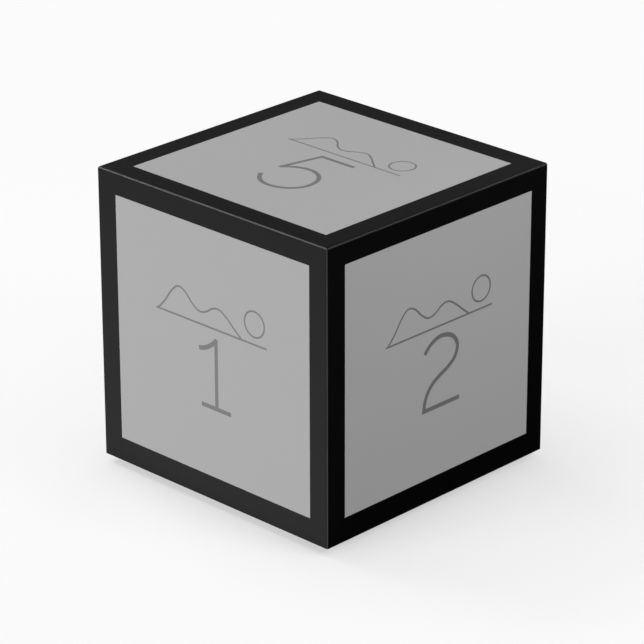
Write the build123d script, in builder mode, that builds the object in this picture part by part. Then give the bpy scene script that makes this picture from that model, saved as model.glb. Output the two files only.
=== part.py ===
"""Display cube that turns on a hidden turntable base.

A mitred fibreboard box carries five printed faces.  Its bottom board is let in, and a ball thrust
bearing under that board joins the box to a round foot with a rubber pad.

Frame: millimetres, +Z up, origin on the table under the cube's centre.
Front is -Y (face 1), right is +X (face 2), rear is +Y (face 3), left is -X (face 4), top is face 5.
"""
from build123d import *
import os
from math import sqrt

os.makedirs("parts", exist_ok=True)

# ---------------------------------------------------------------- driving dimensions
EDGE = 108.0            # width and depth of the cube, outside the prints
HEIGHT = 107.0          # height of its body, a touch less
LIFT = 3.0              # height of the cube's lower edge above the table
TOP = LIFT + HEIGHT     # height of the top face
HALF = EDGE / 2

PRINT_T = 0.35          # printed laminate
BOARD_6 = 6.0           # fibreboard of the walls
WALL_T = BOARD_6 + PRINT_T          # wall and print together
ARRIS_R = 0.8           # rounding of the outside edges

FOOT_R = 44.0           # base disc
FOOT_Z0, FOOT_Z1 = 0.6, 4.6
FOOT_EDGE_R = 0.6
PAD_R, PAD_T = 42.0, 1.0
PAD_GAP = 0.2           # around the pad, in its recess
PAD_GROOVES = (36.0, 30.0, 24.0, 18.0, 12.0)    # radii of its ring grooves
PAD_GROOVE_W, PAD_GROOVE_D = 1.4, 0.4

BEARING_T = 6.2         # mounting face to mounting face
BOARD_Z0 = FOOT_Z1 + BEARING_T      # underside of the bottom board
BOARD_T = 6.0
BOARD_Z1 = BOARD_Z0 + BOARD_T
INNER = EDGE - 2 * WALL_T           # clear width inside the walls

BLOCK_W = 10.0          # glue blocks in the corners
BLOCK_H = 30.0
BLOCK_AT = INNER / 2 - BLOCK_W / 2  # x and y of a block's centre
BOARD_SCREW_R, BOARD_SCREW_L = 1.5, 16.0
BOARD_HEAD_R = 3.0

PLATE_T = 1.0           # pressed steel race plates
PLATE_R = 33.0
EMBOSS = 1.2            # how far the middle of a plate is raised
EMBOSS_R = 23.0
BALL_R = 2.0
BALL_N = 16
RACE_R = 17.0           # pitch radius of the balls
GROOVE_R = 2.1          # section radius of the groove
MID = FOOT_Z1 + BEARING_T / 2       # height of the balls' centres

RIVET_IN_R, RIVET_OUT_R, RIVET_FLANGE_R = 3.0, 4.5, 8.0
RIVET_FLANGE_T = 0.8
RUN_GAP = 0.1           # running clearance of the bearing

PLATE_SCREW_PCR = 28.0  # pitch circle radius of the plate screws
PLATE_SCREW_R = 1.3
PLATE_HEAD_R, PLATE_HEAD_T = 2.5, 1.5
PLATE_HOLE_R = 1.6
UPPER_SCREW_L, LOWER_SCREW_L = 6.0, 4.0     # under the head
ACCESS_R = 3.25         # driver access hole
PILOT_GAP = 0.02

CAGE_IN_R, CAGE_OUT_R, CAGE_T = 14.0, 20.0, 1.2
POCKET_R = 2.1

# ---------------------------------------------------------------- the five faces
# Each plane lies on an outside face: local x runs to the right as that face is seen, local y runs
# up (towards the rear on top), and the normal points out.  The side planes start at the lower edge.
FRONT = Plane(origin=(0, -HALF, LIFT), x_dir=(1, 0, 0), z_dir=(0, -1, 0))
RIGHT = Plane(origin=(HALF, 0, LIFT), x_dir=(0, 1, 0), z_dir=(1, 0, 0))
REAR = Plane(origin=(0, HALF, LIFT), x_dir=(-1, 0, 0), z_dir=(0, 1, 0))
LEFT = Plane(origin=(-HALF, 0, LIFT), x_dir=(0, -1, 0), z_dir=(-1, 0, 0))
ROOF = Plane(origin=(0, 0, TOP), x_dir=(1, 0, 0), z_dir=(0, 0, 1))

STAND = (Align.CENTER, Align.MIN)

# the outside of the cube with its rounded arrises, used to round the prints
with BuildPart() as outside:
    with BuildSketch(Plane.XY.offset(LIFT)):
        Rectangle(EDGE, EDGE)
    extrude(amount=HEIGHT)
    fillet(
        outside.edges().filter_by(Axis.Z)
        + outside.faces().sort_by(Axis.Z)[-1].edges(),
        radius=ARRIS_R,
    )

# ---------------------------------------------------------------- walls
# fibreboard panels, mitred at the upright corners and under the top, square at the lower end
with BuildPart() as front_wall:
    with BuildSketch(FRONT.offset(-PRINT_T)):
        Rectangle(EDGE - 2 * PRINT_T, HEIGHT - PRINT_T, align=STAND)
    with BuildSketch(FRONT.offset(-WALL_T)):
        Rectangle(INNER, HEIGHT - WALL_T, align=STAND)
    loft(ruled=True)

with BuildPart() as right_wall:
    with BuildSketch(RIGHT.offset(-PRINT_T)):
        Rectangle(EDGE - 2 * PRINT_T, HEIGHT - PRINT_T, align=STAND)
    with BuildSketch(RIGHT.offset(-WALL_T)):
        Rectangle(INNER, HEIGHT - WALL_T, align=STAND)
    loft(ruled=True)

with BuildPart() as rear_wall:
    with BuildSketch(REAR.offset(-PRINT_T)):
        Rectangle(EDGE - 2 * PRINT_T, HEIGHT - PRINT_T, align=STAND)
    with BuildSketch(REAR.offset(-WALL_T)):
        Rectangle(INNER, HEIGHT - WALL_T, align=STAND)
    loft(ruled=True)

with BuildPart() as left_wall:
    with BuildSketch(LEFT.offset(-PRINT_T)):
        Rectangle(EDGE - 2 * PRINT_T, HEIGHT - PRINT_T, align=STAND)
    with BuildSketch(LEFT.offset(-WALL_T)):
        Rectangle(INNER, HEIGHT - WALL_T, align=STAND)
    loft(ruled=True)

with BuildPart() as top_wall:
    with BuildSketch(ROOF.offset(-PRINT_T)):
        Rectangle(EDGE - 2 * PRINT_T, EDGE - 2 * PRINT_T)
    with BuildSketch(ROOF.offset(-WALL_T)):
        Rectangle(INNER, INNER)
    loft(ruled=True)

# ---------------------------------------------------------------- prints
# thin printed laminates that meet on the same mitres, rounded at the arrises
with BuildPart() as front_print:
    with BuildSketch(FRONT):
        Rectangle(EDGE, HEIGHT, align=STAND)
    with BuildSketch(FRONT.offset(-PRINT_T)):
        Rectangle(EDGE - 2 * PRINT_T, HEIGHT - PRINT_T, align=STAND)
    loft(ruled=True)
    add(outside.part, mode=Mode.INTERSECT)

with BuildPart() as right_print:
    with BuildSketch(RIGHT):
        Rectangle(EDGE, HEIGHT, align=STAND)
    with BuildSketch(RIGHT.offset(-PRINT_T)):
        Rectangle(EDGE - 2 * PRINT_T, HEIGHT - PRINT_T, align=STAND)
    loft(ruled=True)
    add(outside.part, mode=Mode.INTERSECT)

with BuildPart() as rear_print:
    with BuildSketch(REAR):
        Rectangle(EDGE, HEIGHT, align=STAND)
    with BuildSketch(REAR.offset(-PRINT_T)):
        Rectangle(EDGE - 2 * PRINT_T, HEIGHT - PRINT_T, align=STAND)
    loft(ruled=True)
    add(outside.part, mode=Mode.INTERSECT)

with BuildPart() as left_print:
    with BuildSketch(LEFT):
        Rectangle(EDGE, HEIGHT, align=STAND)
    with BuildSketch(LEFT.offset(-PRINT_T)):
        Rectangle(EDGE - 2 * PRINT_T, HEIGHT - PRINT_T, align=STAND)
    loft(ruled=True)
    add(outside.part, mode=Mode.INTERSECT)

with BuildPart() as top_print:
    with BuildSketch(ROOF):
        Rectangle(EDGE, EDGE)
    with BuildSketch(ROOF.offset(-PRINT_T)):
        Rectangle(EDGE - 2 * PRINT_T, EDGE - 2 * PRINT_T)
    loft(ruled=True)
    add(outside.part, mode=Mode.INTERSECT)

# ---------------------------------------------------------------- bottom board and its fixings
with BuildPart() as bottom_board:
    with BuildSketch(Plane.XY.offset(BOARD_Z0)):
        Rectangle(INNER, INNER)
    extrude(amount=BOARD_T)
    # countersunk holes for the screws into the glue blocks, drilled from below
    with Locations(bottom_board.faces().sort_by(Axis.Z)[0]):
        with GridLocations(2 * BLOCK_AT, 2 * BLOCK_AT, 2, 2):
            CounterSinkHole(
                radius=BOARD_SCREW_R + 0.05,
                counter_sink_radius=BOARD_HEAD_R + 0.05,
                depth=BOARD_T,
                counter_sink_angle=90,
            )
    # pilot holes for the upper race plate's screws
    with BuildSketch(Plane.XY.offset(BOARD_Z0)):
        with PolarLocations(PLATE_SCREW_PCR, 4, start_angle=45):
            Circle(PLATE_SCREW_R + PILOT_GAP)
    extrude(amount=UPPER_SCREW_L - PLATE_T + 0.2, mode=Mode.SUBTRACT)

with BuildPart() as corner_blocks:
    with BuildSketch(Plane.XY.offset(BOARD_Z1)):
        with GridLocations(2 * BLOCK_AT, 2 * BLOCK_AT, 2, 2):
            Rectangle(BLOCK_W, BLOCK_W)
    extrude(amount=BLOCK_H)
    # chamfer the inner upright edge of each block, the one nearest the middle of the box
    chamfer(
        corner_blocks.edges()
        .filter_by(Axis.Z)
        .sort_by(lambda e: abs(e.center().X) + abs(e.center().Y))[:4],
        length=4.0,
    )
    with BuildSketch(Plane.XY.offset(BOARD_Z1)):
        with GridLocations(2 * BLOCK_AT, 2 * BLOCK_AT, 2, 2):
            Circle(BOARD_SCREW_R + PILOT_GAP)
    extrude(amount=BOARD_SCREW_L - BOARD_T + 0.6, mode=Mode.SUBTRACT)

with BuildPart() as board_screws:
    # shanks, then the countersunk heads flush with the board's underside
    with BuildSketch(Plane.XY.offset(BOARD_Z0)):
        with GridLocations(2 * BLOCK_AT, 2 * BLOCK_AT, 2, 2):
            Circle(BOARD_SCREW_R)
    extrude(amount=BOARD_SCREW_L)
    chamfer(
        board_screws.faces().filter_by(Axis.Z).group_by(Axis.Z)[-1].edges(),
        length=1.1,
    )
    with BuildSketch(Plane.XY.offset(BOARD_Z0)):
        with GridLocations(2 * BLOCK_AT, 2 * BLOCK_AT, 2, 2):
            Circle(BOARD_HEAD_R)
    extrude(amount=BOARD_HEAD_R - BOARD_SCREW_R, taper=45)
    # cross recess
    with BuildSketch(Plane.XY.offset(BOARD_Z0)):
        with GridLocations(2 * BLOCK_AT, 2 * BLOCK_AT, 2, 2):
            Rectangle(3.0, 0.8, rotation=45)
            Rectangle(0.8, 3.0, rotation=45)
    extrude(amount=1.1, mode=Mode.SUBTRACT)

# ---------------------------------------------------------------- turntable bearing
# A race plate's section, heights counted from its mounting face: a flat flange, a sloping wall, and
# a raised middle with a round groove pressed into it, all one sheet thickness.
FACE_H = EMBOSS + PLATE_T                       # the raised middle's running face
MID_H = BEARING_T / 2
GROOVE_HALF = sqrt(GROOVE_R**2 - (MID_H - FACE_H) ** 2)
BACK_R = GROOVE_R + PLATE_T
BACK_HALF = sqrt(BACK_R**2 - (MID_H - EMBOSS) ** 2)
BEND = 0.4142 * PLATE_T                         # offset of a 45 degree bend across the sheet

with BuildPart() as lower_race_plate:
    with BuildSketch(Plane.XZ) as lower_section:
        with BuildLine():
            Polyline(
                (RIVET_OUT_R + PILOT_GAP, FOOT_Z1 + EMBOSS),
                (RIVET_OUT_R + PILOT_GAP, FOOT_Z1 + FACE_H),
                (RACE_R - GROOVE_HALF, FOOT_Z1 + FACE_H),
            )
            ThreePointArc(
                (RACE_R - GROOVE_HALF, FOOT_Z1 + FACE_H),
                (RACE_R, MID - GROOVE_R),
                (RACE_R + GROOVE_HALF, FOOT_Z1 + FACE_H),
            )
            Polyline(
                (RACE_R + GROOVE_HALF, FOOT_Z1 + FACE_H),
                (EMBOSS_R, FOOT_Z1 + FACE_H),
                (EMBOSS_R + EMBOSS, FOOT_Z1 + PLATE_T),
                (PLATE_R, FOOT_Z1 + PLATE_T),
                (PLATE_R, FOOT_Z1),
                (EMBOSS_R + EMBOSS - BEND, FOOT_Z1),
                (EMBOSS_R - BEND, FOOT_Z1 + EMBOSS),
                (RACE_R + BACK_HALF, FOOT_Z1 + EMBOSS),
            )
            ThreePointArc(
                (RACE_R + BACK_HALF, FOOT_Z1 + EMBOSS),
                (RACE_R, MID - BACK_R),
                (RACE_R - BACK_HALF, FOOT_Z1 + EMBOSS),
            )
            Line(
                (RACE_R - BACK_HALF, FOOT_Z1 + EMBOSS),
                (RIVET_OUT_R + PILOT_GAP, FOOT_Z1 + EMBOSS),
            )
        make_face()
    revolve(axis=Axis.Z)
    with BuildSketch(Plane.XY.offset(FOOT_Z1)):
        with PolarLocations(PLATE_SCREW_PCR, 4):
            Circle(PLATE_HOLE_R)
        with PolarLocations(PLATE_SCREW_PCR, 1, start_angle=45):
            Circle(ACCESS_R)
    extrude(amount=PLATE_T, mode=Mode.SUBTRACT)

with BuildPart() as upper_race_plate:
    with BuildSketch(Plane.XZ) as upper_section:
        with BuildLine():
            Polyline(
                (RIVET_OUT_R + RUN_GAP, BOARD_Z0 - EMBOSS),
                (RIVET_OUT_R + RUN_GAP, BOARD_Z0 - FACE_H),
                (RACE_R - GROOVE_HALF, BOARD_Z0 - FACE_H),
            )
            ThreePointArc(
                (RACE_R - GROOVE_HALF, BOARD_Z0 - FACE_H),
                (RACE_R, MID + GROOVE_R),
                (RACE_R + GROOVE_HALF, BOARD_Z0 - FACE_H),
            )
            Polyline(
                (RACE_R + GROOVE_HALF, BOARD_Z0 - FACE_H),
                (EMBOSS_R, BOARD_Z0 - FACE_H),
                (EMBOSS_R + EMBOSS, BOARD_Z0 - PLATE_T),
                (PLATE_R, BOARD_Z0 - PLATE_T),
                (PLATE_R, BOARD_Z0),
                (EMBOSS_R + EMBOSS - BEND, BOARD_Z0),
                (EMBOSS_R - BEND, BOARD_Z0 - EMBOSS),
                (RACE_R + BACK_HALF, BOARD_Z0 - EMBOSS),
            )
            ThreePointArc(
                (RACE_R + BACK_HALF, BOARD_Z0 - EMBOSS),
                (RACE_R, MID + BACK_R),
                (RACE_R - BACK_HALF, BOARD_Z0 - EMBOSS),
            )
            Line(
                (RACE_R - BACK_HALF, BOARD_Z0 - EMBOSS),
                (RIVET_OUT_R + RUN_GAP, BOARD_Z0 - EMBOSS),
            )
        make_face()
    revolve(axis=Axis.Z)
    with BuildSketch(Plane.XY.offset(BOARD_Z0 - PLATE_T)):
        with PolarLocations(PLATE_SCREW_PCR, 4, start_angle=45):
            Circle(PLATE_HOLE_R)
    extrude(amount=PLATE_T, mode=Mode.SUBTRACT)

# hollow rivet: closed up tight on the lower plate, running free in the upper one
RIVET_Z0 = FOOT_Z1 + EMBOSS - RIVET_FLANGE_T
RIVET_Z1 = BOARD_Z0 - EMBOSS + RUN_GAP + RIVET_FLANGE_T
with BuildPart() as hub_rivet:
    with BuildSketch(Plane.XY.offset(RIVET_Z0)):
        Circle(RIVET_OUT_R)
    extrude(amount=RIVET_Z1 - RIVET_Z0)
    with BuildSketch(Plane.XY.offset(RIVET_Z0)):
        Circle(RIVET_FLANGE_R)
    extrude(amount=RIVET_FLANGE_T)
    with BuildSketch(Plane.XY.offset(RIVET_Z1 - RIVET_FLANGE_T)):
        Circle(RIVET_FLANGE_R)
    extrude(amount=RIVET_FLANGE_T)
    fillet(
        hub_rivet.edges()
        .filter_by(GeomType.CIRCLE)
        .filter_by(lambda e: abs(e.radius - RIVET_FLANGE_R) < 0.01),
        radius=0.3,
    )
    Hole(radius=RIVET_IN_R)
    fillet(
        hub_rivet.edges()
        .filter_by(GeomType.CIRCLE)
        .filter_by(lambda e: abs(e.radius - RIVET_IN_R) < 0.01),
        radius=0.6,
    )

with BuildPart() as bearing_balls:
    with Locations(Plane.XY.offset(MID)):
        with PolarLocations(RACE_R, BALL_N):
            Sphere(BALL_R)

with BuildPart() as ball_cage:
    with BuildSketch(Plane.XY.offset(MID - CAGE_T / 2)):
        Circle(CAGE_OUT_R)
        Circle(CAGE_IN_R, mode=Mode.SUBTRACT)
        with PolarLocations(RACE_R, BALL_N):
            Circle(POCKET_R, mode=Mode.SUBTRACT)
    extrude(amount=CAGE_T)

with BuildPart() as lower_plate_screws:
    with BuildSketch(Plane.XY.offset(FOOT_Z1 + PLATE_T)):
        with PolarLocations(PLATE_SCREW_PCR, 4):
            Circle(PLATE_HEAD_R)
    extrude(amount=PLATE_HEAD_T)
    fillet(
        lower_plate_screws.faces().group_by(Axis.Z)[-1].edges(),
        radius=0.7,
    )
    with BuildSketch(Plane.XY.offset(FOOT_Z1 + PLATE_T)):
        with PolarLocations(PLATE_SCREW_PCR, 4):
            Circle(PLATE_SCREW_R)
    extrude(amount=-LOWER_SCREW_L)
    with BuildSketch(Plane.XY.offset(FOOT_Z1 + PLATE_T + PLATE_HEAD_T)):
        with PolarLocations(PLATE_SCREW_PCR, 4):
            Rectangle(2.6, 0.7)
            Rectangle(0.7, 2.6)
    extrude(amount=-0.9, mode=Mode.SUBTRACT)

with BuildPart() as upper_plate_screws:
    with BuildSketch(Plane.XY.offset(BOARD_Z0 - PLATE_T)):
        with PolarLocations(PLATE_SCREW_PCR, 4, start_angle=45):
            Circle(PLATE_HEAD_R)
    extrude(amount=-PLATE_HEAD_T)
    fillet(
        upper_plate_screws.faces().group_by(Axis.Z)[0].edges(),
        radius=0.7,
    )
    with BuildSketch(Plane.XY.offset(BOARD_Z0 - PLATE_T)):
        with PolarLocations(PLATE_SCREW_PCR, 4, start_angle=45):
            Circle(PLATE_SCREW_R)
    extrude(amount=UPPER_SCREW_L)
    with BuildSketch(Plane.XY.offset(BOARD_Z0 - PLATE_T - PLATE_HEAD_T)):
        with PolarLocations(PLATE_SCREW_PCR, 4, start_angle=45):
            Rectangle(2.6, 0.7)
            Rectangle(0.7, 2.6)
    extrude(amount=0.9, mode=Mode.SUBTRACT)

# ---------------------------------------------------------------- foot
with BuildPart() as base_disc:
    with BuildSketch(Plane.XY.offset(FOOT_Z0)):
        Circle(FOOT_R)
    extrude(amount=FOOT_Z1 - FOOT_Z0)
    fillet(
        base_disc.edges().filter_by(GeomType.CIRCLE), radius=FOOT_EDGE_R
    )
    # shallow recess for the pad
    with BuildSketch(Plane.XY.offset(FOOT_Z0)):
        Circle(PAD_R + PAD_GAP)
    extrude(amount=PAD_T - FOOT_Z0, mode=Mode.SUBTRACT)
    # pilot holes for the lower race plate, and the access hole for the upper plate's screws
    with BuildSketch(Plane.XY.offset(FOOT_Z1)):
        with PolarLocations(PLATE_SCREW_PCR, 4):
            Circle(PLATE_SCREW_R + PILOT_GAP)
    extrude(amount=-(LOWER_SCREW_L - PLATE_T + 0.2), mode=Mode.SUBTRACT)
    with BuildSketch(Plane.XY.offset(FOOT_Z1)):
        with PolarLocations(PLATE_SCREW_PCR, 1, start_angle=45):
            Circle(ACCESS_R)
    extrude(amount=-(FOOT_Z1 - PAD_T), mode=Mode.SUBTRACT)

with BuildPart() as non_slip_pad:
    with BuildSketch(Plane.XY):
        Circle(PAD_R)
    extrude(amount=PAD_T)
    # ring grooves in the resting face, cut from the widest inwards
    with BuildSketch(Plane.XY):
        for radius in PAD_GROOVES:
            Circle(radius + PAD_GROOVE_W / 2)
            Circle(radius - PAD_GROOVE_W / 2, mode=Mode.SUBTRACT)
    extrude(amount=PAD_GROOVE_D, mode=Mode.SUBTRACT)
    # break every edge of the lands that stand on the table
    chamfer(
        non_slip_pad.faces().filter_by(Axis.Z).group_by(Axis.Z)[0].edges(),
        length=0.15,
    )

# ---------------------------------------------------------------- labels and files
front_wall.part.label = "front_wall"
export_step(front_wall.part, "parts/front_wall.step")
right_wall.part.label = "right_wall"
export_step(right_wall.part, "parts/right_wall.step")
rear_wall.part.label = "rear_wall"
export_step(rear_wall.part, "parts/rear_wall.step")
left_wall.part.label = "left_wall"
export_step(left_wall.part, "parts/left_wall.step")
top_wall.part.label = "top_wall"
export_step(top_wall.part, "parts/top_wall.step")

front_print.part.label = "front_print"
export_step(front_print.part, "parts/front_print.step")
right_print.part.label = "right_print"
export_step(right_print.part, "parts/right_print.step")
rear_print.part.label = "rear_print"
export_step(rear_print.part, "parts/rear_print.step")
left_print.part.label = "left_print"
export_step(left_print.part, "parts/left_print.step")
top_print.part.label = "top_print"
export_step(top_print.part, "parts/top_print.step")

bottom_board.part.label = "bottom_board"
export_step(bottom_board.part, "parts/bottom_board.step")
corner_blocks.part.label = "corner_blocks"
export_step(corner_blocks.part, "parts/corner_blocks.step")
board_screws.part.label = "board_screws"
export_step(board_screws.part, "parts/board_screws.step")

upper_race_plate.part.label = "upper_race_plate"
export_step(upper_race_plate.part, "parts/upper_race_plate.step")
upper_plate_screws.part.label = "upper_plate_screws"
export_step(upper_plate_screws.part, "parts/upper_plate_screws.step")
bearing_balls.part.label = "bearing_balls"
export_step(bearing_balls.part, "parts/bearing_balls.step")
ball_cage.part.label = "ball_cage"
export_step(ball_cage.part, "parts/ball_cage.step")
hub_rivet.part.label = "hub_rivet"
export_step(hub_rivet.part, "parts/hub_rivet.step")
lower_race_plate.part.label = "lower_race_plate"
export_step(lower_race_plate.part, "parts/lower_race_plate.step")
lower_plate_screws.part.label = "lower_plate_screws"
export_step(lower_plate_screws.part, "parts/lower_plate_screws.step")

base_disc.part.label = "base_disc"
export_step(base_disc.part, "parts/base_disc.step")
non_slip_pad.part.label = "non_slip_pad"
export_step(non_slip_pad.part, "parts/non_slip_pad.step")
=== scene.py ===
"""Looks of the turning display cube: printed faces, board edges, turntable foot, studio."""
import math

import bmesh
import bpy
import numpy as np
from mathutils import Matrix, Vector
from mathutils.geometry import delaunay_2d_cdt


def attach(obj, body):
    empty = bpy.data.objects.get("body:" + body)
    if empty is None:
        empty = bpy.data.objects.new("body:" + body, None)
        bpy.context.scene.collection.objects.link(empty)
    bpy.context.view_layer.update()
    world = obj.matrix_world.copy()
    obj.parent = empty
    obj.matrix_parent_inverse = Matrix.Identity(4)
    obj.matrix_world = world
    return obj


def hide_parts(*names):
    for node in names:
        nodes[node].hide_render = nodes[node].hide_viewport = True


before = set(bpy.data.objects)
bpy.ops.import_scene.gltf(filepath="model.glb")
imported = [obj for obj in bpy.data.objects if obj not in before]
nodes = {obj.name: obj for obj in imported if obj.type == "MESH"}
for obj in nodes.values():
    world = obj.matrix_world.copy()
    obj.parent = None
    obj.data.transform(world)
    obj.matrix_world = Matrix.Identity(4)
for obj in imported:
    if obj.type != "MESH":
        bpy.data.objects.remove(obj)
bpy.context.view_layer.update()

MM = 0.001
EDGE, HEIGHT, LIFT = 108.0, 107.0, 3.0
HALF = EDGE / 2
SHEET_T = 0.35          # thickness of a print
ARRIS_R = 0.8           # rounding of the outside edges
CENTRE_Z = LIFT + HEIGHT / 2

# ------------------------------------------------------------------ node helpers


def new_material(name):
    mat = bpy.data.materials.new(name)
    mat.use_nodes = True
    nt = mat.node_tree
    nt.nodes.clear()
    out = nt.nodes.new("ShaderNodeOutputMaterial")
    bsdf = nt.nodes.new("ShaderNodeBsdfPrincipled")
    nt.links.new(bsdf.outputs["BSDF"], out.inputs["Surface"])
    return mat, nt, bsdf


def node(nt, kind, **values):
    n = nt.nodes.new(kind)
    for key, value in values.items():
        if key in n.inputs.keys():
            n.inputs[key].default_value = value
        else:
            setattr(n, key, value)
    return n


def coords(nt, scale=(1, 1, 1), rotation=(0, 0, 0)):
    """Object coordinates, in metres, which for every piece are the row frame's."""
    tc = nt.nodes.new("ShaderNodeTexCoord")
    mp = nt.nodes.new("ShaderNodeMapping")
    mp.inputs["Scale"].default_value = scale
    mp.inputs["Rotation"].default_value = rotation
    nt.links.new(tc.outputs["Object"], mp.inputs["Vector"])
    return mp.outputs["Vector"]


def noise(nt, vec, scale, detail=2.0, rough=0.5, distortion=0.0):
    n = node(nt, "ShaderNodeTexNoise", Scale=scale, Detail=detail, Roughness=rough, Distortion=distortion)
    nt.links.new(vec, n.inputs["Vector"])
    return n.outputs["Fac"]


def remap(nt, value, a, b, lo, hi):
    n = node(nt, "ShaderNodeMapRange")
    n.clamp = True
    n.inputs["From Min"].default_value = a
    n.inputs["From Max"].default_value = b
    n.inputs["To Min"].default_value = lo
    n.inputs["To Max"].default_value = hi
    nt.links.new(value, n.inputs["Value"])
    return n.outputs["Result"]


def math_node(nt, op, a, b=None):
    n = nt.nodes.new("ShaderNodeMath")
    n.operation = op
    for i, x in enumerate((a, b)):
        if x is None:
            continue
        if isinstance(x, (int, float)):
            n.inputs[i].default_value = x
        else:
            nt.links.new(x, n.inputs[i])
    return n.outputs[0]


def ramp(nt, fac, stops):
    n = nt.nodes.new("ShaderNodeValToRGB")
    els = n.color_ramp.elements
    while len(els) < len(stops):
        els.new(0.5)
    for el, (pos, col) in zip(els, stops):
        el.position = pos
        el.color = (*col, 1.0)
    nt.links.new(fac, n.inputs["Fac"])
    return n.outputs["Color"]


def mix_colour(nt, fac, a, b, blend="MIX"):
    n = nt.nodes.new("ShaderNodeMix")
    n.data_type = "RGBA"
    n.blend_type = blend
    for socket, x in ((n.inputs[0], fac), (n.inputs[6], a), (n.inputs[7], b)):
        if isinstance(x, (int, float)):
            socket.default_value = x
        elif isinstance(x, (tuple, list)):
            socket.default_value = (*x, 1.0) if len(x) == 3 else x
        else:
            nt.links.new(x, socket)
    return n.outputs[2]


def bump(nt, heights, distance, strength=1.0):
    n = node(nt, "ShaderNodeBump", Strength=strength, Distance=distance)
    nt.links.new(heights, n.inputs["Height"])
    return n


# ------------------------------------------------------------------ materials


def laminate(name, shade, spread, worn_and_highlit=0.0):
    """Satin printed film.  shade is the ink's grey; spread is how far it wanders, as in a fine
    print.  The last argument is how light the ink is painted along a rounded arris, by the share
    that the mesh's "arris" attribute gives: partly ink rubbed thin there, partly a painted highlight for the light
    the arris catches."""
    mat, nt, bsdf = new_material(name)
    vec = coords(nt)
    cloud = noise(nt, vec, 28.0, 3.0, 0.55)             # slow unevenness of the ink, some cm
    grain = noise(nt, vec, 2600.0, 2.0, 0.6)            # fine grain of the print, 0.4 mm
    both = math_node(nt, "ADD", math_node(nt, "MULTIPLY", cloud, 0.35), math_node(nt, "MULTIPLY", grain, 0.65))
    low = tuple(max(0.0, c * (1 - spread)) for c in shade)
    high = tuple(c * (1 + spread) for c in shade)
    colour = ramp(nt, both, [(0.30, low), (0.70, high)])
    rough = remap(nt, noise(nt, vec, 60.0, 4.0, 0.6), 0.3, 0.7, 0.470, 0.500)
    # the arris painted lighter: partly ink rubbed thin, partly a painted highlight
    if worn_and_highlit:
        at = nt.nodes.new("ShaderNodeAttribute")
        at.attribute_name = "arris"
        rub_and_highlight = remap(nt, noise(nt, vec, 130.0, 5.0, 0.65), 0.32, 0.62, 0.62, 1.0)
        fac = math_node(nt, "MULTIPLY", at.outputs["Fac"], rub_and_highlight)
        colour = mix_colour(nt, fac, colour, (worn_and_highlit, worn_and_highlit, worn_and_highlit))
    nt.links.new(colour, bsdf.inputs["Base Color"])
    nt.links.new(rough, bsdf.inputs["Roughness"])
    peel = noise(nt, vec, 620.0, 2.0, 0.5)              # faint orange peel of the film
    fine = noise(nt, vec, 3400.0, 1.0, 0.5)             # satin stipple
    h = math_node(nt, "ADD", math_node(nt, "MULTIPLY", peel, 0.7), math_node(nt, "MULTIPLY", fine, 0.3))
    b = bump(nt, h, 0.000012, 0.35)
    nt.links.new(b.outputs["Normal"], bsdf.inputs["Normal"])
    bsdf.inputs["IOR"].default_value = 1.5
    return mat


def grey(x):
    return (x, x, x)


# black print whose arrises are painted lighter, partly for rubbed ink and partly as a painted highlight
INK_BLACK = laminate("print_black", grey(0.0007), 0.30, worn_and_highlit=0.125)
INK_GREY = laminate("print_grey", grey(0.435), 0.010)
# one ink for the figures, in copies painted per face as light and shade: lighter on the front, darker on the right
INK_DARK_SHADED_BY_FACE = {
    "front": laminate("print_number_front", grey(0.211), 0.02),
    "right": laminate("print_number_right", grey(0.168), 0.02),
    "rear": laminate("print_number_rear", grey(0.200), 0.02),
    "left": laminate("print_number_left", grey(0.200), 0.02),
    "top": laminate("print_number_top", grey(0.200), 0.02),
}


def paper_core():
    """The cut edge and back of a printed sheet: dark card."""
    mat, nt, bsdf = new_material("print_core")
    vec = coords(nt)
    colour = ramp(nt, noise(nt, vec, 1800.0, 3.0, 0.6), [(0.3, (0.050, 0.050, 0.050)), (0.7, (0.078, 0.077, 0.075))])
    nt.links.new(colour, bsdf.inputs["Base Color"])
    nt.links.new(remap(nt, noise(nt, vec, 900.0, 2.0), 0.3, 0.7, 0.72, 0.86), bsdf.inputs["Roughness"])
    b = bump(nt, noise(nt, vec, 2600.0, 2.0), 0.00003, 0.5)
    nt.links.new(b.outputs["Normal"], bsdf.inputs["Normal"])
    return mat


CORE = paper_core()


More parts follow.
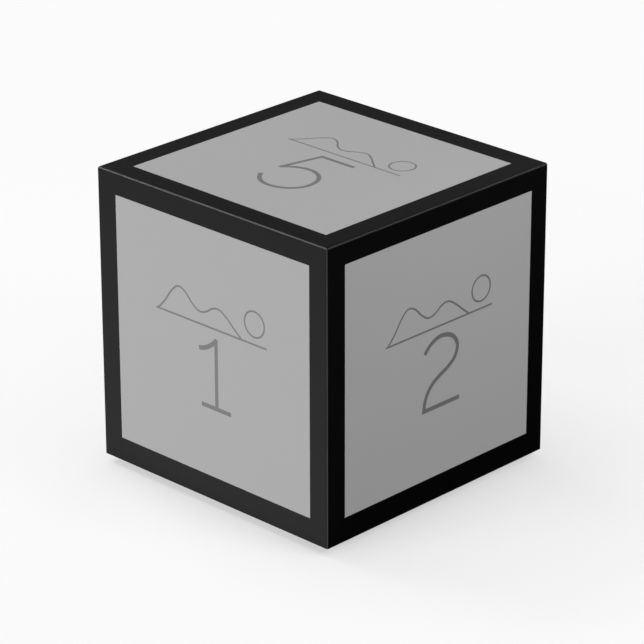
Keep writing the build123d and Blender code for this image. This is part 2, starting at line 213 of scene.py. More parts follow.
def fibreboard(name, dark, light, coated):
    """Pressed wood fibre, bare above the height coated and with a rolled matt black coat below it."""
    mat, nt, bsdf = new_material(name)
    vec = coords(nt)
    fibre = noise(nt, vec, 1500.0, 5.0, 0.7, 0.4)
    blotch = noise(nt, vec, 90.0, 3.0, 0.55)
    both = math_node(nt, "ADD", math_node(nt, "MULTIPLY", fibre, 0.65), math_node(nt, "MULTIPLY", blotch, 0.35))
    colour = ramp(nt, both, [(0.33, dark), (0.52, tuple((a + b) / 2 for a, b in zip(dark, light))), (0.68, light)])
    speck = remap(nt, noise(nt, vec, 4200.0, 1.0, 0.5), 0.66, 0.74, 0.0, 0.5)
    colour = mix_colour(nt, speck, colour, tuple(c * 0.45 for c in dark))
    # the coat: the roller's stipple over the fibre, and a little lint caught in it
    stipple = noise(nt, vec, 560.0, 3.0, 0.6)
    skin = math_node(nt, "ADD", math_node(nt, "MULTIPLY", stipple, 0.6), math_node(nt, "MULTIPLY", both, 0.4))
    black = ramp(nt, skin, [(0.36, (0.017, 0.017, 0.017)), (0.64, (0.036, 0.035, 0.034))])
    lint = remap(nt, noise(nt, vec, 1500.0, 1.0, 0.5), 0.70, 0.78, 0.0, 0.6)
    black = mix_colour(nt, lint, black, (0.110, 0.106, 0.100))
    split = nt.nodes.new("ShaderNodeSeparateXYZ")
    nt.links.new(vec, split.inputs[0])
    wavy = math_node(nt, "ADD", split.outputs["Z"], math_node(nt, "MULTIPLY", noise(nt, vec, 120.0, 3.0), 0.0006))
    coat = remap(nt, wavy, coated, coated + 0.0003, 1.0, 0.0)
    bare = math_node(nt, "SUBTRACT", 1.0, coat)
    nt.links.new(mix_colour(nt, coat, colour, black), bsdf.inputs["Base Color"])
    rough = math_node(
        nt, "ADD",
        math_node(nt, "MULTIPLY", remap(nt, fibre, 0.3, 0.7, 0.80, 0.95), bare),
        math_node(nt, "MULTIPLY", remap(nt, skin, 0.36, 0.64, 0.50, 0.68), coat),
    )
    nt.links.new(rough, bsdf.inputs["Roughness"])
    height = math_node(nt, "ADD", both, math_node(nt, "MULTIPLY", math_node(nt, "MULTIPLY", stipple, coat), 0.6))
    b = bump(nt, height, 0.00012, 0.7)
    nt.links.new(b.outputs["Normal"], bsdf.inputs["Normal"])
    bsdf.inputs["Specular IOR Level"].default_value = 0.4
    return mat


MDF = fibreboard("fibreboard", (0.235, 0.150, 0.085), (0.420, 0.300, 0.190), 0.0112)
MDF_BLACK = fibreboard("fibreboard_black_coat", (0.235, 0.150, 0.085), (0.420, 0.300, 0.190), 0.0125)


def softwood():
    mat, nt, bsdf = new_material("softwood")
    vec = coords(nt, scale=(1.0, 1.0, 0.12))
    rings = node(nt, "ShaderNodeTexWave", Scale=260.0, Distortion=5.0, Detail=2.0)
    rings.wave_type = "BANDS"
    nt.links.new(vec, rings.inputs["Vector"])
    fine = noise(nt, vec, 2400.0, 3.0, 0.6)
    both = math_node(nt, "ADD", math_node(nt, "MULTIPLY", rings.outputs["Fac"], 0.6), math_node(nt, "MULTIPLY", fine, 0.4))
    nt.links.new(ramp(nt, both, [(0.2, (0.36, 0.21, 0.10)), (0.8, (0.62, 0.44, 0.25))]), bsdf.inputs["Base Color"])
    nt.links.new(remap(nt, both, 0.2, 0.8, 0.55, 0.75), bsdf.inputs["Roughness"])
    b = bump(nt, both, 0.00008, 0.5)
    nt.links.new(b.outputs["Normal"], bsdf.inputs["Normal"])
    return mat


def metal(name, dark, light, lo, hi, scale=(1, 1, 1), fine=2200.0, depth=0.00002, bright=1.0, painted_shade_from=None):
    """Metal; the last argument is the height above which it is painted dark as shade, as in a screw's recess."""
    mat, nt, bsdf = new_material(name)
    vec = coords(nt, scale=scale)
    a = noise(nt, vec, 320.0, 4.0, 0.6)
    f = noise(nt, vec, fine, 3.0, 0.6)
    both = math_node(nt, "ADD", math_node(nt, "MULTIPLY", a, 0.5), math_node(nt, "MULTIPLY", f, 0.5))
    colour = ramp(nt, both, [(0.32, dark), (0.68, light)])
    if painted_shade_from:
        split = nt.nodes.new("ShaderNodeSeparateXYZ")
        nt.links.new(vec, split.inputs[0])
        # painted shade in the recess: darker above that height
        colour = mix_colour(nt, remap(nt, split.outputs["Z"], painted_shade_from, painted_shade_from + 0.0006, 0.0, 0.88), colour, (0.030, 0.028, 0.026))
    nt.links.new(colour, bsdf.inputs["Base Color"])
    nt.links.new(remap(nt, both, 0.3, 0.7, lo, hi), bsdf.inputs["Roughness"])
    b = bump(nt, f, depth, 0.5)
    nt.links.new(b.outputs["Normal"], bsdf.inputs["Normal"])
    bsdf.inputs["Metallic"].default_value = bright
    return mat


WOOD = softwood()
ZINC_SCREW = metal("zinc_screw", (0.40, 0.39, 0.36), (0.62, 0.61, 0.58), 0.34, 0.52, bright=0.55)
BOARD_SCREW = metal("board_screw_zinc", (0.40, 0.39, 0.36), (0.62, 0.61, 0.58), 0.34, 0.52, bright=0.55, painted_shade_from=0.0109)
RACE_STEEL = metal("race_steel", (0.44, 0.45, 0.47), (0.62, 0.63, 0.65), 0.26, 0.44, fine=1400.0)
BALL_STEEL = metal("ball_steel", (0.66, 0.66, 0.68), (0.78, 0.78, 0.80), 0.06, 0.14, depth=0.000004)
BRASS = metal("rivet_brass", (0.50, 0.36, 0.15), (0.66, 0.50, 0.24), 0.24, 0.40)


def plastic(name, dark, light, lo, hi, grain=1500.0, depth=0.00006, strength=0.6, cloud=0.5, dust=0.0):
    """Moulded plastic or rubber; cloud is the share of slow unevenness against fine grain, and dust
    how light the few specks on it are."""
    mat, nt, bsdf = new_material(name)
    vec = coords(nt)
    g = noise(nt, vec, grain, 3.0, 0.55)
    w = noise(nt, vec, 45.0, 3.0, 0.5)
    both = math_node(nt, "ADD", math_node(nt, "MULTIPLY", g, 1 - cloud), math_node(nt, "MULTIPLY", w, cloud))
    colour = ramp(nt, both, [(0.36, dark), (0.64, light)])
    if dust:
        specks = remap(nt, noise(nt, vec, 1300.0, 1.0, 0.5), 0.70, 0.78, 0.0, 0.7)
        colour = mix_colour(nt, specks, colour, (dust, dust * 0.98, dust * 0.94))
    nt.links.new(colour, bsdf.inputs["Base Color"])
    nt.links.new(remap(nt, both, 0.36, 0.64, lo, hi), bsdf.inputs["Roughness"])
    b = bump(nt, g, depth, strength)
    nt.links.new(b.outputs["Normal"], bsdf.inputs["Normal"])
    return mat


FOOT_PLASTIC = plastic("foot_plastic", (0.012, 0.012, 0.012), (0.032, 0.032, 0.032), 0.34, 0.54, grain=1300.0, depth=0.00008, strength=0.7, cloud=0.25, dust=0.09)
CAGE_PLASTIC = plastic("cage_plastic", (0.70, 0.69, 0.65), (0.80, 0.79, 0.75), 0.35, 0.50, grain=900.0, depth=0.00002)
RUBBER = plastic("pad_rubber", (0.028, 0.028, 0.027), (0.048, 0.047, 0.046), 0.66, 0.84, grain=1400.0, depth=0.00009, strength=0.6, cloud=0.20, dust=0.10)

# ------------------------------------------------------------------ strokes of the printed figures
# All in millimetres on a face: u to the right as the face reads, v up, (0, 0) its middle.


def arc(cx, cy, r, a0, a1, n=24, ry=None):
    """Points on an arc from a0 to a1 degrees."""
    ry = r if ry is None else ry
    return [
        (cx + r * math.cos(math.radians(a0 + (a1 - a0) * i / n)), cy + ry * math.sin(math.radians(a0 + (a1 - a0) * i / n)))
        for i in range(n + 1)
    ]


def smooth(points, n=8):
    """A Catmull-Rom curve through the points."""
    p = [np.array(q, float) for q in points]
    p = [2 * p[0] - p[1]] + p + [2 * p[-1] - p[-2]]
    out = []
    for i in range(1, len(p) - 2):
        for k in range(n):
            t = k / n
            a, b, c, d = p[i - 1], p[i], p[i + 1], p[i + 2]
            out.append(tuple(0.5 * (2 * b + (c - a) * t + (2 * a - 5 * b + 4 * c - d) * t**2 + (3 * b - 3 * c + d - a) * t**3)))
    out.append(tuple(p[-2]))
    return out


def stroke(points, width):
    """The outline of a line of that width with square ends."""
    p = np.array(points, float)
    d = np.diff(p, axis=0)
    d /= np.linalg.norm(d, axis=1)[:, None]
    t = np.vstack([d[:1], (d[:-1] + d[1:]), d[-1:]])
    t /= np.linalg.norm(t, axis=1)[:, None]
    nrm = np.stack([-t[:, 1], t[:, 0]], 1)
    cosines = np.ones(len(p))
    cosines[1:-1] = np.abs((t[1:-1] * d[1:]).sum(1)).clip(0.5, 1)
    off = nrm * (width / 2 / cosines)[:, None]
    left, right = p + off, p - off
    return [tuple(map(float, q)) for q in left] + [tuple(map(float, q)) for q in right[::-1]]


W = 1.6                 # stroke of the numbers
L = 0.67                # stroke of the small line motif

DIGITS = {
    1: [
        stroke([(2.33, -19.15), (2.33, 6.5)], W),
        stroke(smooth([(-5.85, 1.2), (-4.0, 1.6), (-2.0, 2.4), (0.0, 3.7), (1.2, 4.72), (2.1, 5.65)]), W),
        stroke([(-5.0, -19.15), (9.1, -19.15)], W),
    ],
    2: [
        stroke(
            smooth([(-7.3, 1.65), (-4.5, 4.3), (-0.8, 5.95), (2.9, 5.92), (6.3, 4.55), (8.5, 2.0), (8.95, -0.8), (7.4, -4.0), (4.3, -6.3), (0.2, -8.2), (-3.0, -10.05), (-5.4, -12.6), (-6.95, -15.8), (-7.5, -19.15)]),
            W,
        ),
        stroke([(-8.3, -19.15), (10.3, -19.15)], W),
    ],
    3: [
        stroke([(-7.0, 5.1), (9.0, 5.1)], W),
        stroke([(8.35, 5.1), (-0.55, -7.0)], W),
        stroke(smooth([(-1.6, -6.95), (2.0, -6.85), (5.4, -8.05), (8.4, -10.6), (10.1, -13.9), (10.4, -17.3), (9.2, -21.2), (6.7, -24.2), (3.4, -25.9), (0.1, -26.3), (-3.9, -25.55), (-7.2, -23.25), (-9.65, -20.05)]), W),
    ],
    4: [
        stroke([(4.9, -27.0), (4.9, 6.5)], W),
        stroke([(4.6, 6.1), (-9.6, -18.4)], W),
        stroke([(-10.4, -18.55), (10.6, -18.55)], W),
    ],
    5: [
        stroke([(-6.3, 5.1), (9.65, 5.1)], W),
        stroke([(-5.45, 5.1), (-9.05, -11.85)], W),
        stroke(smooth([(-9.0, -11.4), (-6.9, -9.35), (-3.9, -7.65), (-0.2, -6.75), (3.6, -7.3), (7.1, -9.35), (9.5, -12.5), (10.42, -16.2), (10.0, -19.9), (7.9, -23.2), (4.3, -25.5), (0.1, -26.3), (-3.9, -25.55), (-7.2, -23.25), (-9.65, -20.05)]), W),
    ],
}

# a low line of hills under a sun, in the small stroke
HILLS = smooth(
    [(-25.4, 10.0), (-22.1, 13.5), (-18.9, 17.9), (-15.7, 20.6), (-12.3, 19.7), (-8.9, 16.4), (-5.6, 14.5), (-2.3, 15.1), (1.0, 17.2), (4.2, 17.6), (7.6, 15.7), (11.2, 12.7), (14.6, 10.0)],
    6,
)
MOTIF = [
    stroke([(-26.3, 10.0), (26.3, 10.0)], L),
    stroke(HILLS, L),
    stroke(arc(20.6, 17.3, 4.6, 0, 190, 24), L),
    stroke(arc(20.6, 17.3, 4.6, 180, 370, 24), L),
]


def inside(poly, x, y):
    """Even-odd test of many points against one polygon."""
    p = np.array(poly)
    x0, y0 = p[:, 0], p[:, 1]
    x1, y1 = np.roll(x0, -1), np.roll(y0, -1)
    cross = (y0[:, None] > y) != (y1[:, None] > y)
    with np.errstate(divide="ignore", invalid="ignore"):
        at = x0[:, None] + (y - y0[:, None]) * (x1 - x0)[:, None] / (y1 - y0)[:, None]
    return ((cross & (x < at)).sum(0) % 2).astype(bool)


def near(polys, x, y, gap):
    """Whether a point lies within gap of any outline."""
    for poly in polys:
        p = np.array(poly)
        q = np.roll(p, -1, axis=0)
        d = q - p
        t = np.clip(((np.array([x, y]) - p) * d).sum(1) / (d * d).sum(1).clip(1e-9), 0, 1)
        if (np.hypot(*(p + d * t[:, None] - [x, y]).T) < gap).any():
            return True
    return False


# ------------------------------------------------------------------ the printed sheets

BLACK, GREY, DARK, LINE, BACK = range(5)
SEG = 8                 # steps over half of an arris


def rubbed_and_highlit(slope, before, after, along):
    """How much lighter the print is painted where an arris has turned by that slope, most of all along its middle:
    partly ink rubbed thin, partly a painted highlight.
    before and after are for the two edges it can be on: how light it is at the edge's low end and at
    its high end, and the share of the turn at which the lightening begins; along is 0 to 1 along it."""
    low, high, begin = after if slope > 0 else before
    t = min(1.0, max(0.0, (math.degrees(math.atan(abs(slope))) / 45 - begin) / min(0.55, 1 - begin)))
    return t * t * (3 - 2 * t) * (low + (high - low) * min(1.0, max(0.0, along)))


def printed_sheet(name, cad_node, origin, u_axis, v_axis, n_axis, digit, square_foot, wear, border, figures):
    """A sheet with its print as real regions of the mesh, rounded and mitred at its edges.  wear is
    how much lighter its left, right, lower and upper edges are painted, partly for rubbed ink and partly as a painted
    highlight, border how wide the black is at each of them, and figures where the middle of the figures lies, because
    no sheet is cut quite true."""
    u_axis, v_axis, n_axis, origin = (np.array(a, float) for a in (u_axis, v_axis, n_axis, origin))
    tall = HEIGHT / 2 if square_foot else HALF
    steps = 12

    def stations(half, square):
        """(position on the flat, slope) along one direction; the slope is tan of the turn."""
        core = half - ARRIS_R
        s = [] if square else [(-core, -math.tan(math.radians(45 * (SEG - i) / SEG))) for i in range(SEG)]
        lo = -half if square else -core
        s += [(lo + (core - lo) * i / steps, 0.0) for i in range(steps + 1)]
        s += [(core, math.tan(math.radians(45 * (i + 1) / SEG))) for i in range(SEG)]
        return s

    us, vs = stations(HALF, False), stations(tall, square_foot)
    bm = bmesh.new()
    arris = bm.verts.layers.float.new("arris")
    verts, normals = {}, {}

    def vert(u, v, d, tag, normal=None, turn=0.0):
        key = (round(u, 4), round(v, 4), round(d, 4), tag)
        if key not in verts:
            p = (origin + u_axis * u + v_axis * v - n_axis * d) * MM
            verts[key] = bm.verts.new(p)
            verts[key][arris] = turn
            if normal is not None:
                normals[verts[key]] = normal
        return verts[key]

    def outer(i, j):
        (u0, tu), (v0, tv) = us[i], vs[j]
        n = np.array([tu, tv, 1.0])
        n /= np.linalg.norm(n)
        u = u0 + ARRIS_R * n[0] if tu else u0
        v = v0 + ARRIS_R * n[1] if tv else v0
        # how much lighter this arris is painted: rubbed ink and painted highlight
        turn = max(
            rubbed_and_highlit(tu, wear[0], wear[1], (v + tall) / (2 * tall)), rubbed_and_highlit(tv, wear[2], wear[3], (u + HALF) / EDGE)
        )
        return vert(u, v, ARRIS_R - ARRIS_R * n[2], "skin", u_axis * n[0] + v_axis * n[1] + n_axis * n[2], turn)

    def back(i, j):
        def squeeze(pos, slope):
            if not slope:
                return pos
            share = math.sqrt(2) * abs(slope) / math.sqrt(1 + slope * slope)
            return math.copysign(abs(pos) + (ARRIS_R - SHEET_T) * share, pos)
        return vert(squeeze(*us[i]), squeeze(*vs[j]), SHEET_T, "back", None, 0.0)

    flat_u = [i for i, s in enumerate(us) if s[1] == 0]
    flat_v = [j for j, s in enumerate(vs) if s[1] == 0]
    faces = []

    def face(corners, slot):
        corners = [c for k, c in enumerate(corners) if c not in corners[:k]]
        if len(corners) < 3:
            return
        f = bm.faces.new(corners)
        f.material_index = slot
        f.smooth = True
        faces.append(f)

    for i in range(len(us) - 1):
        for j in range(len(vs) - 1):
            if flat_u[0] <= i < flat_u[-1] and flat_v[0] <= j < flat_v[-1]:
                continue
            face([outer(i, j), outer(i + 1, j), outer(i + 1, j + 1), outer(i, j + 1)], BLACK)
    # the flat, cut along the edges of the print
    lo_u, hi_u = us[flat_u[0]][0], us[flat_u[-1]][0]
    lo_v, hi_v = vs[flat_v[0]][0], vs[flat_v[-1]][0]
    rim = [(us[i][0], lo_v) for i in flat_u[:-1]] + [(hi_u, vs[j][0]) for j in flat_v[:-1]]
    rim += [(us[i][0], hi_v) for i in flat_u[:0:-1]] + [(lo_u, vs[j][0]) for j in flat_v[:0:-1]]
    w0, w1, h0, h1 = -HALF + border[0], HALF - border[1], -tall + border[2], tall - border[3]
    cuts = [k / 18 for k in range(18)]
    panel = [(w0 + (w1 - w0) * c, h0) for c in cuts] + [(w1, h0 + (h1 - h0) * c) for c in cuts]
    panel += [(w1 + (w0 - w1) * c, h1) for c in cuts] + [(w0, h1 + (h0 - h1) * c) for c in cuts]
    number, motif = ([[(x + figures[0], y + figures[1]) for x, y in poly] for poly in polys] for polys in (DIGITS[digit], MOTIF))
    ink = number + motif
    loops = [rim, panel] + ink
    pts, edges = [], []
    for loop in loops:
        base = len(pts)
        pts += [Vector(q) for q in loop]
        edges += [(base + k, base + (k + 1) % len(loop)) for k in range(len(loop))]
    for a in range(1, 18):
        for b in range(1, 18):
            x, y = w0 + (w1 - w0) * a / 18, h0 + (h1 - h0) * b / 18
            if not near(ink, x, y, 1.1):
                pts.append(Vector((x, y)))
    out = delaunay_2d_cdt(pts, edges, [], 0, 1e-6)
    co, tris = out[0], out[2]
    mid = np.array([[sum(co[k].x for k in t) / 3, sum(co[k].y for k in t) / 3] for t in tris])
    x, y = mid[:, 0], mid[:, 1]
    kind = np.full(len(tris), BLACK)
    kind[(x > w0) & (x < w1) & (y > h0) & (y < h1)] = GREY
    for poly in motif:
        kind[inside(poly, x, y)] = LINE
    for poly in number:
        kind[inside(poly, x, y)] = DARK
    up = n_axis
    for t, k in zip(tris, kind):
        face([vert(co[q].x, co[q].y, 0.0, "skin", up, 0.0) for q in t], int(k))
    # the mitred edges, the square foot, and the back
    last_i, last_j = len(us) - 1, len(vs) - 1
    for j in range(last_j):
        face([outer(last_i, j), back(last_i, j), back(last_i, j + 1), outer(last_i, j + 1)], BACK)
        face([outer(0, j), outer(0, j + 1), back(0, j + 1), back(0, j)], BACK)
    for i in range(last_i):
        face([outer(i, last_j), outer(i + 1, last_j), back(i + 1, last_j), back(i, last_j)], BACK)
        face([outer(i, 0), back(i, 0), back(i + 1, 0), outer(i + 1, 0)], BACK)
    for i in range(last_i):
        for j in range(last_j):
            face([back(i, j), back(i, j + 1), back(i + 1, j + 1), back(i + 1, j)], BACK)
    bmesh.ops.recalc_face_normals(bm, faces=bm.faces[:])
    open_edges = sum(1 for e in bm.edges if len(e.link_faces) != 2)
    if open_edges:
        raise RuntimeError(f"{name}: {open_edges} edges aren't shared by two faces")
    bm.verts.index_update()
    skin_normals = {v.index: n for v, n in normals.items()}
    mesh = bpy.data.meshes.new(name)
    bm.to_mesh(mesh)
    bm.free()
    # exact normals: the flat stays flat and the arris turns evenly
    custom = []
    for poly in mesh.polygons:
        for li in poly.loop_indices:
            vi = mesh.loops[li].vertex_index
            n = poly.normal if poly.material_index == BACK else Vector(skin_normals[vi])
            custom.append(n)
    mesh.normals_split_custom_set(custom)
    # a map that gives nearly all its room to the printed side
    uv = mesh.uv_layers.new(name="OFBake")
    inv = 1.0 / MM
    for poly in mesh.polygons:
        hidden = poly.material_index == BACK
        flat_back = hidden and abs(poly.normal.dot(Vector(n_axis))) > 0.99
        for li in poly.loop_indices:
            p = np.array(mesh.vertices[mesh.loops[li].vertex_index].co) * inv - origin
            u, v = float(p @ u_axis), float(p @ v_axis)
            if not hidden:
                uv.data[li].uv = (0.008 + (u + HALF) / EDGE * 0.935, 0.008 + (v + HALF) / EDGE * 0.935)
            elif flat_back:
                uv.data[li].uv = (0.955 + (u + HALF) / EDGE * 0.035, 0.955 + (v + HALF) / EDGE * 0.035)
            else:
                d = -float(p @ n_axis)
                along, side = (v, u) if abs(Vector(u_axis).dot(poly.normal)) > 0.5 else (u, v)
                lane = 0.956 + (0.012 if along is u else 0.0) + (0.006 if side > 0 else 0.0)
                uv.data[li].uv = (lane + d / SHEET_T * 0.004, 0.008 + (along + HALF) / EDGE * 0.93)
    obj = bpy.data.objects.new(name, mesh)
    bpy.context.scene.collection.objects.link(obj)
    key = name.split("_")[0]
    for m in (INK_BLACK, INK_GREY, INK_DARK_SHADED_BY_FACE[key], INK_DARK_SHADED_BY_FACE[key], CORE):
        mesh.materials.append(m)
    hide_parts(cad_node)
    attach(obj, "cube")
    return obj


# How much lighter each arris is painted, set edge by edge: partly ink rubbed thin, partly a painted highlight for the
# light each edge catches. The values are at its two ends, and the share of the turn where the lightening begins.
UPRIGHT = (0.60, 0.60, 0.35)
FRONT_RIGHT = (0.85, 0.85, 0.70)
FRONT_TOP = (0.78, 0.62, 0.24)
RIGHT_TOP = (0.74, 0.80, 0.73)
REAR_TOP = (0.75, 0.70, 0.28)
LEFT_TOP = (0.75, 0.80, 0.28)
FOOT_END = (0.0, 0.0, 0.30)
Z_MID, Z_TOP = CENTRE_Z, LIFT + HEIGHT
SHEETS = [
    ("front_face_print", "front_print", (0, -HALF, Z_MID), (1, 0, 0), (0, 0, 1), (0, -1, 0), 1, True, (UPRIGHT, FRONT_RIGHT, FOOT_END, FRONT_TOP), (8.95, 7.95, 8.75, 8.0), (0.25, 0.19)),
    ("right_face_print", "right_print", (HALF, 0, Z_MID), (0, 1, 0), (0, 0, 1), (1, 0, 0), 2, True, (FRONT_RIGHT, UPRIGHT, FOOT_END, RIGHT_TOP), (8.35, 8.35, 8.7, 7.9), (0.04, 0.125)),
    ("rear_face_print", "rear_print", (0, HALF, Z_MID), (-1, 0, 0), (0, 0, 1), (0, 1, 0), 3, True, (UPRIGHT, UPRIGHT, FOOT_END, REAR_TOP), (8.2, 8.6, 8.7, 8.0), (-0.1, 0.15)),
    ("left_face_print", "left_print", (-HALF, 0, Z_MID), (0, -1, 0), (0, 0, 1), (-1, 0, 0), 4, True, (UPRIGHT, UPRIGHT, FOOT_END, LEFT_TOP), (8.5, 8.2, 8.6, 8.0), (0.1, 0.15)),
    ("top_face_print", "top_print", (0, 0, Z_TOP), (1, 0, 0), (0, 1, 0), (0, 0, 1), 5, False, (LEFT_TOP, RIGHT_TOP, FRONT_TOP, REAR_TOP), (9.0, 8.5, 8.4, 9.3), (0.12, 0.0)),
]
for sheet in SHEETS:
    printed_sheet(*sheet)

# ------------------------------------------------------------------ CAD pieces that keep their shape


def wear(name, material):
    """Puts a material on a CAD node."""
    o = nodes[name]
    if not o.data.materials:
        o.data.materials.append(material)
    for s in o.material_slots:
        s.material = material


for n in ("front_wall", "right_wall", "rear_wall", "left_wall", "top_wall"):
    wear(n, MDF)
wear("bottom_board", MDF_BLACK)
wear("corner_blocks", WOOD)
wear("board_screws", BOARD_SCREW)
for n in ("upper_plate_screws", "lower_plate_screws"):
    wear(n, ZINC_SCREW)
for n in ("upper_race_plate", "lower_race_plate"):
    wear(n, RACE_STEEL)
wear("bearing_balls", BALL_STEEL)
wear("ball_cage", CAGE_PLASTIC)
wear("hub_rivet", BRASS)
wear("base_disc", FOOT_PLASTIC)
wear("non_slip_pad", RUBBER)

# ------------------------------------------------------------------ camera

AZ, EL, ROLL = math.radians(44.097), math.radians(23.214), math.radians(-0.138)
DIST, OFF_X, OFF_Z, FOCAL_PX, FRAME_PX = 1181.60 * MM, -0.393 * MM, -4.152 * MM, 3431.5, 644.0
back_dir = Vector((math.sin(AZ) * math.cos(EL), -math.cos(AZ) * math.cos(EL), math.sin(EL)))
right0 = (-back_dir).cross(Vector((0, 0, 1))).normalized()
up0 = right0.cross(-back_dir)
right_dir = right0 * math.cos(ROLL) + up0 * math.sin(ROLL)
up_dir = -right0 * math.sin(ROLL) + up0 * math.cos(ROLL)
cam_data = bpy.data.cameras.new("camera")
cam_data.sensor_width = 36.0
cam_data.sensor_fit = "HORIZONTAL"
cam_data.lens = FOCAL_PX / FRAME_PX * 36.0
cam_data.clip_start, cam_data.clip_end = 0.05, 30.0
cam = bpy.data.objects.new("camera", cam_data)
bpy.context.scene.collection.objects.link(cam)
cube_centre = Vector((0, 0, CENTRE_Z * MM))
place = cube_centre + back_dir * DIST + right_dir * OFF_X + up_dir * OFF_Z
turn = Matrix((right_dir, up_dir, back_dir)).transposed()
cam.matrix_world = Matrix.Translation(place) @ turn.to_4x4()
bpy.context.scene.camera = cam

# ------------------------------------------------------------------ studio

# Soft boxes round the cube: name: (direction from its middle, distance m, size m, watts, diffuse, gloss).
# The camera never sees them.  Those for gloss alone put the soft sheen on the black print.
BOXES = {
    "overhead": ((0.0, 0.0, 1.0), 1.70, 1.60, 1.96, True, False),
    "front_fill": ((-0.30, -0.93, 0.20), 1.90, 1.20, 19.96, True, False),
    "right_high": ((0.86, 0.10, 0.50), 0.45, 0.25, 0.60, True, False),
    "left_high": ((-0.70, -0.10, 0.70), 0.75, 0.45, 1.905, True, False),
    "rear_fill": ((-0.20, 0.95, 0.25), 1.90, 1.20, 4.32, True, True),
    "left_fill": ((-0.95, 0.25, 0.25), 1.90, 1.20, 3.84, True, True),
    "top_sheen": ((-0.639, 0.659, 0.397), 1.90, 1.00, 0.383, False, True),
    "arris_left": ((-0.639, -0.397, 0.659), 1.90, 0.40, 6.10, False, True),
    "right_sheen": ((0.62, 0.66, 0.35), 0.60, 0.30, 0.405, False, True),
}
# Cards that lie on the floor and shine up: name: (x0, x1, y0, y1, watts, diffuse, gloss), in metres.
CARDS = {
    "card_sheen": (-0.45, 0.25, -0.50, -0.056, 0.574, False, True),
}


def area_light(name, shape, size, size_y, watts, diffuse, gloss):
    data = bpy.data.lights.new(name, "AREA")
    data.shape = shape
    data.size = size
    data.size_y = size_y
    data.energy = watts
    o = bpy.data.objects.new(name, data)
    bpy.context.scene.collection.objects.link(o)
    o.rotation_mode = "QUATERNION"
    o.visible_camera = False
    o.visible_diffuse = diffuse
    o.visible_glossy = gloss
    return o


for box_name, (direction, distance, size, watts, diffuse, gloss) in BOXES.items():
    o = area_light(box_name, "DISK", size, size, watts, diffuse, gloss)
    d = Vector(direction).normalized()
    o.location = cube_centre + d * distance
    o.rotation_quaternion = d.to_track_quat("Z", "Y")
for card_name, (x0, x1, y0, y1, watts, diffuse, gloss) in CARDS.items():
    o = area_light(card_name, "RECTANGLE", x1 - x0, y1 - y0, watts, diffuse, gloss)
    o.location = ((x0 + x1) / 2, (y0 + y1) / 2, 0.0005)
    o.rotation_quaternion = (0.0, 1.0, 0.0, 0.0)
# weak lights from under the floor, for looking at the underside
under = area_light("under", "DISK", 1.4, 1.4, 3.0, True, True)
under.location = (0.0, 0.0, -1.5)
under.rotation_quaternion = (0.0, 1.0, 0.0, 0.0)
rake = area_light("under_rake", "DISK", 0.35, 0.35, 4.0, True, True)
rake_dir = Vector((-0.42, 0.38, -0.82)).normalized()
rake.location = rake_dir * 1.3
rake.rotation_quaternion = rake_dir.to_track_quat("Z", "Y")

world = bpy.data.worlds.new("studio")
bpy.context.scene.world = world
world.use_nodes = True
world.node_tree.nodes["Background"].inputs["Color"].default_value = (1, 1, 1, 1)
world.node_tree.nodes["Background"].inputs["Strength"].default_value = 0.3977
world.cycles_visibility.glossy = False

# the floor: pale, soon as even and bright as the surround away from the cube, and seen from above
# only, so that the underside can be looked at
floor_mat = bpy.data.materials.new("floor")
floor_mat.use_nodes = True
fnt = floor_mat.node_tree
fnt.nodes.clear()
f_out = fnt.nodes.new("ShaderNodeOutputMaterial")
f_mix = fnt.nodes.new("ShaderNodeMixShader")
f_add = fnt.nodes.new("ShaderNodeAddShader")
f_diff = fnt.nodes.new("ShaderNodeBsdfDiffuse")
f_emit = fnt.nodes.new("ShaderNodeEmission")
f_clear = fnt.nodes.new("ShaderNodeBsdfTransparent")
f_geo = fnt.nodes.new("ShaderNodeNewGeometry")
f_far = fnt.nodes.new("ShaderNodeEmission")
f_blend = fnt.nodes.new("ShaderNodeMixShader")
f_where = fnt.nodes.new("ShaderNodeTexCoord")
f_radius = fnt.nodes.new("ShaderNodeVectorMath")
f_radius.operation = "LENGTH"
f_fade = fnt.nodes.new("ShaderNodeMapRange")
f_fade.interpolation_type = "SMOOTHSTEP"
f_fade.inputs["From Min"].default_value = 0.09
f_fade.inputs["From Max"].default_value = 0.34
f_far.inputs["Strength"].default_value = 0.965
f_diff.inputs["Color"].default_value = (0.50, 0.50, 0.50, 1)
f_emit.inputs["Strength"].default_value = 0.49
fnt.links.new(f_diff.outputs[0], f_add.inputs[0])
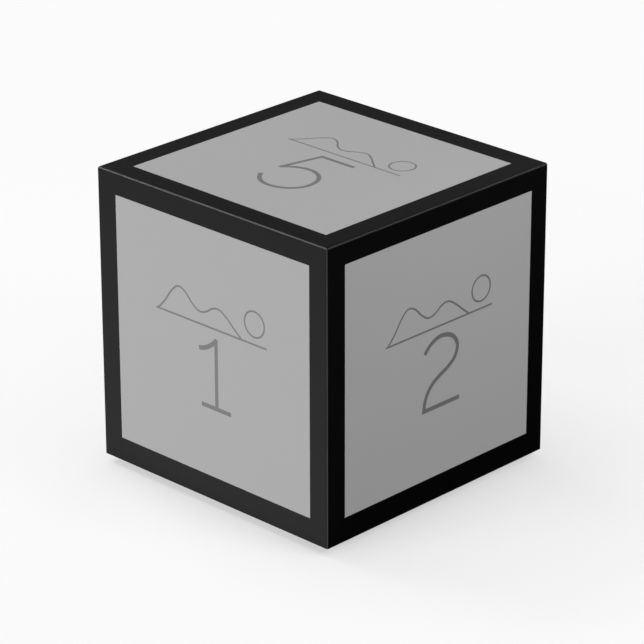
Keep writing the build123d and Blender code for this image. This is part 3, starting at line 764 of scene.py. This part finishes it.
fnt.links.new(f_emit.outputs[0], f_add.inputs[1])
fnt.links.new(f_geo.outputs["Backfacing"], f_mix.inputs[0])
fnt.links.new(f_where.outputs["Object"], f_radius.inputs[0])
fnt.links.new(f_radius.outputs["Value"], f_fade.inputs["Value"])
fnt.links.new(f_fade.outputs["Result"], f_blend.inputs[0])
fnt.links.new(f_add.outputs[0], f_blend.inputs[1])
fnt.links.new(f_far.outputs[0], f_blend.inputs[2])
fnt.links.new(f_blend.outputs[0], f_mix.inputs[1])
fnt.links.new(f_clear.outputs[0], f_mix.inputs[2])
fnt.links.new(f_mix.outputs[0], f_out.inputs["Surface"])

bm = bmesh.new()
bmesh.ops.create_circle(bm, cap_ends=True, radius=3.2, segments=96)
floor_mesh = bpy.data.meshes.new("floor")
bm.to_mesh(floor_mesh)
bm.free()
floor = bpy.data.objects.new("floor", floor_mesh)
floor_mesh.materials.append(floor_mat)
bpy.context.scene.collection.objects.link(floor)
floor.visible_glossy = False
floor.visible_diffuse = False
floor.visible_shadow = False

# a pale surround beyond the floor, which only the camera sees
sky_mat = bpy.data.materials.new("surround")
sky_mat.use_nodes = True
snt = sky_mat.node_tree
snt.nodes.clear()
s_out = snt.nodes.new("ShaderNodeOutputMaterial")
s_emit = snt.nodes.new("ShaderNodeEmission")
s_emit.inputs["Strength"].default_value = 0.965
snt.links.new(s_emit.outputs[0], s_out.inputs["Surface"])
bm = bmesh.new()
bmesh.ops.create_uvsphere(bm, u_segments=64, v_segments=32, radius=6.0)
sky_mesh = bpy.data.meshes.new("surround")
bm.to_mesh(sky_mesh)
bm.free()
sky = bpy.data.objects.new("surround", sky_mesh)
sky_mesh.materials.append(sky_mat)
bpy.context.scene.collection.objects.link(sky)
for flag in ("visible_diffuse", "visible_glossy", "visible_transmission", "visible_volume_scatter", "visible_shadow"):
    setattr(sky, flag, False)

scene = bpy.context.scene
scene.view_settings.view_transform = "Standard"
scene.view_settings.look = "None"
scene.view_settings.exposure = 0.0
scene.view_settings.gamma = 1.0
